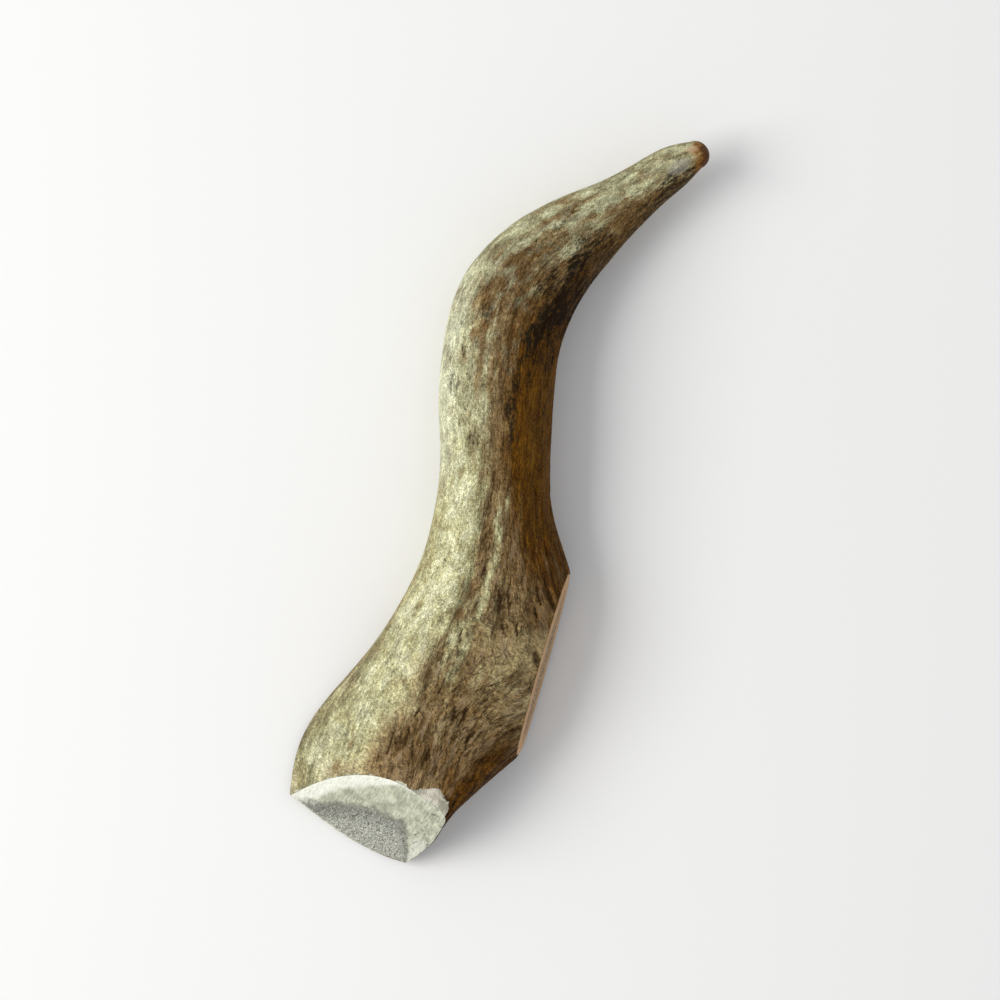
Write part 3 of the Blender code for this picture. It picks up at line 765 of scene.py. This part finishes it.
# A soft valley beside the pale ridge, and a low swelling on the pale side of it.
valley = 0.62 * np.exp(-(((across - boundary - 1.6) / 2.3) ** 2)) - 0.22 * np.exp(-(((across - boundary + 3.2) / 2.6) ** 2))
valley *= np.interp(along, [0, 28, 44, 62, 96, 112, 130, 192], [0.1, 0.3, 0.8, 1.0, 1.0, 0.6, 0.2, 0.0]) * np.where(np.abs(turn) < 1.0, 1.0, 0.0)
out = (flutes + lumps - valley) * calm + fine * 0.045 * (0.5 + rough_zone) * calm - depth * calm
out = np.where(out > 0.12, 0.12 + (out - 0.12) * 0.5, out)
on_cut = smooth(-0.05, 0.5, fork_side) * smooth(-0.02, 0.35, end_gap)
out = out * on_cut * (1 - 0.8 * chip_white)

# Worn rims at the end cut, a little chipped.
END_WORN = 0.42
chip = 1 + 0.9 * np.clip(perlin(points / 1.6, 91), -0.6, 1)


def fillet(gap, r):
    inner = np.clip(r - gap, 0, r)
    return np.minimum(r - np.sqrt(np.clip(r * r - inner * inner, 0, None)), 0.3 * r)


# Distance in from the rim across the sawn end.
end_in = np.zeros(len(points))
cap_index = np.nonzero(~body)[0]
cap_flat = np.stack([(points[cap_index] - rim_mid) @ e1, (points[cap_index] - rim_mid) @ e2], -1)
for chunk in np.array_split(np.arange(len(cap_index)), 12):
    gap = cap_flat[chunk][:, None, :] - rim_flat[None]
    end_in[cap_index[chunk]] = np.sqrt((gap**2).sum(-1)).min(1)
out -= np.where(body, fillet(end_gap, END_WORN), fillet(end_in, END_WORN)) * chip
end_side = np.where(body, np.clip(end_gap, 0, None) - 0.05, -end_in - 0.45)

# The porous core of the sawn end: it reaches the lower edge, under a thick dense rim.
flat_x = np.zeros(len(points))
flat_y = np.zeros(len(points))
left_corner = rim_flat[rim_flat[:, 0].argmin()]
flat_x[cap_index], flat_y[cap_index] = cap_flat[:, 0] - left_corner[0], cap_flat[:, 1] - left_corner[1]
CORE_X = [0.0, 3.9, 6.5, 10.0, 12.7, 14.3, 17.6, 20.7, 23.4, 25.0, 26.4, 27.8, 29.2, 30.5]
CORE_TOP = [-2.0, 1.2, 3.2, 6.2, 8.2, 9.6, 10.8, 11.8, 12.2, 11.6, 9.6, 6.4, 2.4, -3.0]
edge_wave = perlin(points / 2.2, 95) * 0.9 + perlin(points / 0.9, 96) * 0.4
core_gap = np.interp(flat_x, CORE_X, CORE_TOP) - flat_y + 0.8 * edge_wave
core = smooth(-2.2, 1.8, core_gap)
core = np.where(body, 0.0, core) * smooth(0.1, 0.7, end_in + 0.3 * edge_wave)
# The outermost layer is the whitest, and thickest along the upper left.
white = smooth(0.9, -0.9, end_in - np.interp(flat_x, [0, 6, 14, 17, 20, 31], [2.4, 3.4, 3.2, 2.2, 0.4, -0.6]) + 0.5 * edge_wave)
white = np.where(body, 0.0, white) * smooth(-1.6, 1.2, flat_y)
white = np.maximum(white, np.where(body, 0.0, smooth(0.9, 0.2, end_in)) * np.interp(flat_x, [0, 18, 22, 31], [1.0, 1.0, 0.25, 0.25]))
white = np.maximum(white, np.where(body, 0.0, 0.50 * smooth(27.6, 29.6, flat_x + 0.5 * edge_wave) * smooth(12.5, 9.0, flat_y)))
spots = np.where(body, 0.0, smooth(0.25, 0.6, perlin(points / 0.85, 101) + 0.3 * perlin(points / 0.4, 102))) * smooth(26.5, 28.0, flat_x)
fork_core = smooth(3.0, 4.6, fork_in + edge_wave * 0.8) * on_fork
core = np.maximum(core, fork_core)
pores = smooth(0.05, 0.75, perlin(points / 0.52, 97)) * 0.6 + smooth(0.1, 0.8, perlin(points / 0.95, 98)) * 0.5
pore_depth = core * pores
saw = perlin(np.stack([points @ e1 / 0.55, points @ e2 / 9.0, points @ end_n], -1), 99) * 0.03
out -= np.where(~body | on_fork, 0.20 * pore_depth + saw * smooth(0.2, 0.8, np.maximum(end_in, fork_in)), 0.0)

points = points + normals * out[:, None]
points[:, 2] = np.clip(points[:, 2], 0.015, None)

# ----------------------------------------------------------------- the mesh
mesh = bpy.data.meshes.new("antler_surface")
mesh.from_pydata([tuple(p * MM) for p in points], [], faces)
mesh.update()
mesh.shade_smooth()


def store(name, values):
    attribute = mesh.attributes.new(name, "FLOAT", "POINT")
    attribute.data.foreach_set("value", np.asarray(values, np.float32))


def store_vector(name, values):
    attribute = mesh.attributes.new(name, "FLOAT_VECTOR", "POINT")
    attribute.data.foreach_set("vector", np.asarray(values, np.float32).ravel())


store_vector("grain", grain)
store("stain", stain)
store("dark_stain_and_shade", dark_stain_and_shade)
store("deep_stain_and_shade", deep_stain_and_shade)
store("rubbed", rubbed)
store("fibrous", fibrous)
store("rust", rust)
store("cavity", cavity)
store("tip", tip)
store("core", core)
store("pores", pore_depth)
store("end_side", end_side)
store("fork_side", fork_side)
store("flank", turn)
store("tan", tan)
store("white", white)
store("spots", spots)
store("rough", np.clip(rough_zone * np.interp(along, [0, 84, 98, 125, 150, 192], [1.0, 1.0, 0.45, 0.45, 0.6, 0.5]), 0, 1))
store("core_edge", np.where(body, 0.0, smooth(1.6, 0.0, np.abs(core_gap + 0.2)) * (flat_x > 4)))
store("core_low", np.where(body, 0.0, np.clip((core_gap - 0.6) / 7.0 + 0.25 * (flat_x - 14) / 14 + 0.5 * edge_wave * 0.3, 0, 1)))
store("ochre", ochre)
store("olive_grey", olive_grey)
# Painted highlight: a greenish-white sheen along the left edge of the shaft.
store("left_edge_highlight", smooth(-0.60, -0.92, sideways + 0.10 * patchy) * np.interp(along, [90, 102, 132, 144], [0.0, 0.8, 0.8, 0.0]) * above)
store("grey_green", smooth(0.45, 0.05, stain - 0.15) * np.interp(along, [96, 118, 186, 192], [0.0, 1.0, 1.0, 0.3]) * smooth(0.75, 0.3, sideways) * above)
# Painted shade: on the right side, away from the key light, the near-black is drawn darker and warmer.
store("shaded_side", smooth(0.42, 0.62, sideways) * np.interp(along, [0, 150, 166, 192], [1.0, 1.0, 0.4, 0.2]))
store("tip_pale", tip_pale)
store("tip_grey", tip_grey)
store("chip_white", chip_white)
store("chip_dark", chip_dark)

UV_SIZE = 196.0
uv_layer = mesh.uv_layers.new(name="OFBake")
flat = np.array([c for face in corners for c in face], np.float32)
flat[:, 0] = (flat[:, 0] + 54.0) / UV_SIZE
flat[:, 1] = (flat[:, 1] + 1.0) / UV_SIZE
uv_layer.data.foreach_set("uv", flat.ravel())

antler = bpy.data.objects.new("antler_surface", mesh)
bpy.context.scene.collection.objects.link(antler)

# ------------------------------------------------------------- the material
material = bpy.data.materials.new("antler")
material.use_nodes = True
tree = material.node_tree
shader = tree.nodes["Principled BSDF"]
links = tree.links


def put(socket, value):
    if isinstance(value, bpy.types.NodeSocket):
        links.new(value, socket)
    elif isinstance(value, (int, float)):
        socket.default_value = value
    else:
        socket.default_value = (*value, 1.0) if len(value) == 3 and len(socket.default_value) == 4 else value


def attr(name, vector=False):
    node = tree.nodes.new("ShaderNodeAttribute")
    node.attribute_name = name
    return node.outputs["Vector" if vector else "Fac"]


def calc(operation, a, b=0.0, c=0.0, clamp=False):
    node = tree.nodes.new("ShaderNodeMath")
    node.operation, node.use_clamp = operation, clamp
    for socket, value in zip(node.inputs, (a, b, c)):
        put(socket, value)
    return node.outputs[0]


def ramp(value, low, high, to_low=0.0, to_high=1.0):
    node = tree.nodes.new("ShaderNodeMapRange")
    node.interpolation_type = "SMOOTHSTEP"
    for name, v in (("Value", value), ("From Min", low), ("From Max", high), ("To Min", to_low), ("To Max", to_high)):
        put(node.inputs[name], v)
    return node.outputs["Result"]


def stretch(vector, x, y, z):
    node = tree.nodes.new("ShaderNodeVectorMath")
    node.operation = "MULTIPLY"
    put(node.inputs[0], vector)
    node.inputs[1].default_value = (x, y, z)
    return node.outputs[0]


def noise(vector, scale, detail=2.0, rough=0.55, twist=0.0):
    node = tree.nodes.new("ShaderNodeTexNoise")
    put(node.inputs["Vector"], vector)
    for name, v in (("Scale", scale), ("Detail", detail), ("Roughness", rough), ("Distortion", twist)):
        node.inputs[name].default_value = v
    return node.outputs["Fac"]


def scaled(colour, factor):
    """A colour made lighter or darker by a factor socket."""
    node = tree.nodes.new("ShaderNodeVectorMath")
    node.operation = "SCALE"
    put(node.inputs[0], colour)
    put(node.inputs["Scale"], factor)
    return node.outputs[0]


def mix(factor, a, b, how="MIX"):
    node = tree.nodes.new("ShaderNodeMix")
    node.data_type, node.blend_type, node.clamp_factor = "RGBA", how, True
    put(node.inputs[0], factor)
    put(node.inputs[6], a)
    put(node.inputs[7], b)
    return node.outputs[2]


grain_at = attr("grain", vector=True)
speck = noise(stretch(grain_at, 1, 1, 0.6), 2.2, 3.0, 0.62)
grit = noise(grain_at, 4.0, 1.0, 0.5)
fibre = noise(stretch(grain_at, 1, 1, 0.16), 1.15, 4.0, 0.62, 0.6)
strand = noise(stretch(grain_at, 1, 1, 0.07), 0.62, 3.0, 0.55, 0.5)
mottle = noise(stretch(grain_at, 1, 1, 0.5), 0.33, 5.0, 0.62, 0.7)
cloud = noise(stretch(grain_at, 1, 1, 0.42), 0.52, 3.0, 0.6, 0.5)
pits = noise(stretch(grain_at, 1, 1, 0.28), 1.35, 1.5, 0.5, 0.8)
lines = noise(stretch(grain_at, 1, 1, 0.17), 0.70, 2.0, 0.5, 0.25)
small_lines = noise(stretch(grain_at, 1, 1, 0.22), 1.9, 1.5, 0.5, 0.2)
threads = noise(stretch(grain_at, 1, 1, 0.09), 1.5, 2.0, 0.5, 0.3)


def around_half(value, share):
    """A noise value centred on 0 and scaled."""
    return calc("MULTIPLY", calc("SUBTRACT", value, 0.5), share)


def both(*values):
    total = values[0]
    for value in values[1:]:
        total = calc("MULTIPLY", total, value)
    return total


def stops(value, *tones):
    """A colour ramp: pairs of a position and a colour."""
    node = tree.nodes.new("ShaderNodeValToRGB")
    put(node.inputs[0], value)
    for n, (place, tone) in enumerate(tones):
        stop = node.color_ramp.elements[n] if n < 2 else node.color_ramp.elements.new(place)
        stop.position, stop.color = place, (*tone, 1.0)
    return node.outputs["Color"]


UMBER, BLACK = (0.036, 0.017, 0.0045), (0.0135, 0.011, 0.004)

# From weathered cream through olive and tan to brown.
stain_here = calc("MULTIPLY_ADD", around_half(mottle, 1.4), calc("SUBTRACT", 1.25, attr("stain")), attr("stain"))
stain_here = calc("MULTIPLY_ADD", around_half(fibre, 1.0), calc("MULTIPLY_ADD", attr("stain"), 0.55, 0.16, clamp=True), stain_here)
stain_here = calc("MULTIPLY_ADD", around_half(speck, 0.9), calc("MULTIPLY_ADD", attr("stain"), 0.3, 0.30, clamp=True), stain_here)
colour = stops(
    calc("MULTIPLY_ADD", stain_here, 0.8, 0.12, clamp=True),
    (0.00, (0.675, 0.665, 0.435)), (1.00, (0.095, 0.052, 0.0155)), (0.20, (0.515, 0.495, 0.275)), (0.36, (0.365, 0.325, 0.165)),
    (0.55, (0.262, 0.186, 0.085)), (0.78, (0.165, 0.099, 0.036)),
)
colour = mix(both(attr("fibrous"), ramp(threads, 0.40, 0.62, 0.15, 0.85)), colour, (0.225, 0.210, 0.112))
colour = mix(both(attr("fibrous"), ramp(threads, 0.46, 0.34, 0.0, 0.38)), colour, (0.60, 0.585, 0.40))
colour = mix(calc("MULTIPLY", attr("grey_green"), 0.40), colour, mix(ramp(cloud, 0.38, 0.62), (0.50, 0.505, 0.345), (0.235, 0.235, 0.150)))
colour = mix(both(attr("olive_grey"), ramp(fibre, 0.34, 0.62, 0.85, 0.35)), colour, (0.305, 0.300, 0.185))
# Painted highlight along the left edge of the shaft.
colour = mix(calc("MULTIPLY", attr("left_edge_highlight"), 0.55), colour, (0.66, 0.675, 0.50))
colour = mix(both(attr("ochre"), ramp(mottle, 0.30, 0.70, 0.95, 0.45)), colour, (0.36, 0.275, 0.130))
colour = mix(calc("MULTIPLY", attr("tan"), ramp(mottle, 0.3, 0.7, 0.85, 0.35)), colour, (0.36, 0.25, 0.125))
# Deep brown on the right side: partly stain, partly painted shade away from the key light.
deep_stain_and_shade_colour = mix(ramp(fibre, 0.30, 0.68), (0.148, 0.062, 0.0035), (0.078, 0.027, 0.0006))
colour = mix(calc("ADD", calc("MULTIPLY", attr("deep_stain_and_shade"), 1.2), both(attr("deep_stain_and_shade"), around_half(mottle, 1.2)), clamp=True), colour, deep_stain_and_shade_colour)
colour = mix(both(attr("rubbed"), ramp(strand, 0.36, 0.62, 0.5, 0.0)), colour, (0.180, 0.088, 0.010))
rust_here = calc("ADD", attr("rust"), around_half(fibre, 1.2))
colour = mix(ramp(rust_here, 0.20, 1.0, 0.0, 0.62), colour, (0.185, 0.078, 0.010))
colour = scaled(colour, ramp(cloud, 0.34, 0.66, 1.16, 0.80))
colour = scaled(colour, ramp(speck, 0.34, 0.66, 1.22, 0.78))
colour = scaled(colour, ramp(grit, 0.32, 0.68, 1.32, 0.70))
# Near-black for the dark stain and for the painted shade on the right flanks.
dark_stain_and_shade_here = calc("ADD", attr("dark_stain_and_shade"), calc("ADD", around_half(speck, 1.1), around_half(fibre, 1.4)))
# On the right side the near-black is darker still: painted shade.
colour = mix(ramp(dark_stain_and_shade_here, 0.12, 0.85, 0.0, 0.97), colour, mix(attr("shaded_side"), BLACK, (0.0125, 0.0050, 0.0012)))

# Furrows: the modelled ones, then finer cracks and pits between them. They are darkened towards umber: painted shade
# in the furrows, cracks and pits.
furrowed_here = calc("MULTIPLY_ADD", attr("rough"), 0.92, calc("MULTIPLY", attr("stain"), 0.22), clamp=True)
crack = both(ramp(lines, 0.54, 0.72), furrowed_here)
small = both(ramp(small_lines, 0.54, 0.72), furrowed_here)
crack = calc("MAXIMUM", calc("MULTIPLY", crack, 0.62), calc("MULTIPLY", small, 0.34))
pit = both(ramp(pits, 0.57, 0.66), calc("MULTIPLY_ADD", attr("rough"), 0.85, calc("MULTIPLY_ADD", attr("stain"), 0.15, 0.05), clamp=True))
cavity_here = calc("ADD", attr("cavity"), around_half(speck, 0.6))
furrow_shade_mask = calc("MAXIMUM", ramp(cavity_here, 0.34, 1.15, 0.0, 0.93), calc("MAXIMUM", crack, calc("MULTIPLY", pit, 0.45)))
high = both(ramp(calc("MULTIPLY_ADD", small_lines, 0.4, calc("MULTIPLY", lines, 0.6)), 0.50, 0.38), attr("rough"), calc("SUBTRACT", 1.0, attr("cavity"), clamp=True), calc("SUBTRACT", 1.0, calc("MULTIPLY", attr("deep_stain_and_shade"), 0.95), clamp=True))
colour = mix(calc("MULTIPLY", high, 0.42), colour, (0.37, 0.275, 0.170))
colour = mix(furrow_shade_mask, colour, UMBER)

# The worn point of the tine: orange-brown, with a pale and a grey patch beside it.
colour = mix(calc("MULTIPLY", attr("tip_pale"), 0.65), colour, (0.62, 0.44, 0.29))
colour = mix(calc("MULTIPLY", attr("tip_grey"), 0.45), colour, (0.36, 0.35, 0.31))
colour = mix(ramp(attr("tip"), 0.15, 0.85, 0.0, 0.95), colour, mix(ramp(calc("ADD", attr("tip"), around_half(speck, 0.8)), 0.55, 1.0), (0.30, 0.125, 0.018), (0.095, 0.030, 0.006)))

# The sawn faces.
cut_wave = noise(grain_at, 0.55, 3.0, 0.6)
end_line = calc("ADD", attr("end_side"), around_half(cut_wave, 2.4))
saw_marks = noise(stretch(grain_at, 1.0, 0.16, 0.16), 2.2, 3.0, 0.6)
cloudy = noise(grain_at, 0.35, 3.0, 0.6)
dense = mix(ramp(saw_marks, 0.34, 0.66), (0.60, 0.61, 0.47), (0.42, 0.435, 0.33))
dense = scaled(dense, ramp(cloudy, 0.36, 0.64, 1.15, 0.82))
rim_white = mix(ramp(saw_marks, 0.35, 0.65), (0.93, 0.93, 0.83), (0.80, 0.805, 0.69))
bone = mix(attr("white"), dense, rim_white)
bone = mix(calc("MULTIPLY", attr("spots"), 0.7), bone, (0.12, 0.115, 0.09))
grains = noise(grain_at, 2.3, 2.0, 0.6)
porous = mix(ramp(calc("ADD", calc("MULTIPLY", grains, 0.5), calc("MULTIPLY", grit, 0.5)), 0.36, 0.64), (0.56, 0.56, 0.49), (0.205, 0.21, 0.175))
porous = scaled(porous, ramp(attr("core_low"), 0.0, 1.0, 0.72, 1.25))
# The pores are darkened by their depth: painted shade.
porous = mix(ramp(attr("pores"), 0.1, 0.9, 0.0, 0.7), porous, (0.095, 0.095, 0.072))
bone = mix(attr("core"), bone, porous)
bone = mix(calc("MULTIPLY", attr("core_edge"), ramp(cloudy, 0.35, 0.6, 0.15, 0.6)), bone, (0.20, 0.205, 0.165))
colour = mix(ramp(end_line, 0.08, -0.10), colour, bone)
colour = mix(calc("MULTIPLY", ramp(calc("ADD", attr("chip_white"), around_half(speck, 0.7)), 0.3, 0.75), 0.95), colour, mix(ramp(cloudy, 0.38, 0.60), (0.68, 0.645, 0.535), (0.40, 0.38, 0.30)))
colour = mix(calc("MULTIPLY", attr("chip_dark"), 0.85), colour, UMBER)
fork_bone = mix(ramp(saw_marks, 0.3, 0.7), (0.66, 0.43, 0.245), (0.48, 0.295, 0.155))
fork_porous = mix(ramp(grit, 0.36, 0.64), (0.56, 0.41, 0.265), (0.25, 0.165, 0.095))
# The pores of the fork face are darkened by their depth: painted shade.
fork_porous = mix(ramp(attr("pores"), 0.1, 0.9, 0.0, 0.75), fork_porous, (0.085, 0.052, 0.028))
fork_bone = mix(attr("core"), fork_bone, fork_porous)
colour = mix(ramp(attr("fork_side"), 0.10, -0.10), colour, fork_bone)
put(shader.inputs["Base Color"], colour)

sawn = calc("MAXIMUM", calc("MAXIMUM", ramp(attr("end_side"), 0.06, -0.06), attr("chip_white")), ramp(attr("fork_side"), 0.10, -0.10))
rough = ramp(speck, 0.3, 0.7, 0.54, 0.70)
rough = calc("ADD", rough, calc("MULTIPLY", furrow_shade_mask, 0.14))
rough = calc("SUBTRACT", rough, calc("MULTIPLY", attr("tip"), 0.20))
rough = calc("ADD", rough, calc("MULTIPLY", sawn, 0.22), clamp=True)
put(shader.inputs["Roughness"], rough)
shader.inputs["Metallic"].default_value = 0.0
shader.inputs["Specular IOR Level"].default_value = 0.07

height = calc("MULTIPLY", speck, 0.7)
height = calc("ADD", height, calc("MULTIPLY", fibre, 0.9))
height = calc("ADD", height, calc("MULTIPLY", grit, 0.6))
height = calc("SUBTRACT", height, calc("MULTIPLY", calc("MAXIMUM", crack, calc("MULTIPLY", pit, 0.7)), 3.2))
smooth_cut = calc("MULTIPLY", sawn, calc("MULTIPLY_ADD", attr("core"), -0.75, 0.80))
height = calc("MULTIPLY", height, calc("SUBTRACT", 1.0, smooth_cut))
bump = tree.nodes.new("ShaderNodeBump")
bump.inputs["Strength"].default_value = 0.7
bump.inputs["Distance"].default_value = 0.00055
put(bump.inputs["Height"], height)
put(shader.inputs["Normal"], bump.outputs["Normal"])
mesh.materials.append(material)

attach(antler, "root")
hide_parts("antler")

# ------------------------------------------------- floor, light and camera
bpy.ops.mesh.primitive_plane_add(size=6.0, location=(0, 0, 0))
floor = bpy.context.active_object
floor.name = "floor"
floor_material = bpy.data.materials.new("floor")
floor_material.use_nodes = True
floor_shader = floor_material.node_tree.nodes["Principled BSDF"]
floor_shader.inputs["Base Color"].default_value = (0.90, 0.90, 0.895, 1)
floor_shader.inputs["Roughness"].default_value = 0.9
floor.data.materials.append(floor_material)

scene = bpy.context.scene
world = bpy.data.worlds.new("studio")
scene.world = world
world.use_nodes = True
world.node_tree.nodes["Background"].inputs["Color"].default_value = (0.97, 0.98, 1.0, 1)
world.node_tree.nodes["Background"].inputs["Strength"].default_value = 0.56
scene.view_settings.view_transform = "Standard"
scene.view_settings.look = "None"


def area(name, place, size, power, colour=(1, 1, 1)):
    light = bpy.data.lights.new(name, "AREA")
    light.shape, light.size, light.energy, light.color = "SQUARE", size, power, colour
    lamp = bpy.data.objects.new(name, light)
    lamp.location = place
    lamp.rotation_euler = (-Vector(place)).to_track_quat("-Z", "Y").to_euler()
    scene.collection.objects.link(lamp)
    return lamp


area("key", (-0.79, -0.36, 0.80), 0.80, 10.6, (1.0, 0.985, 0.955))

camera_data = bpy.data.cameras.new("camera")
camera_data.sensor_width = 36.0
camera_data.lens = 36.0 * 0.99 / 0.22
camera_data.clip_start, camera_data.clip_end = 0.05, 20.0
camera = bpy.data.objects.new("camera", camera_data)
camera.location = (0.00002, -0.00392, 1.0)
camera.rotation_euler = (0.0, 0.0, math.radians(27.15))
scene.collection.objects.link(camera)
scene.camera = camera
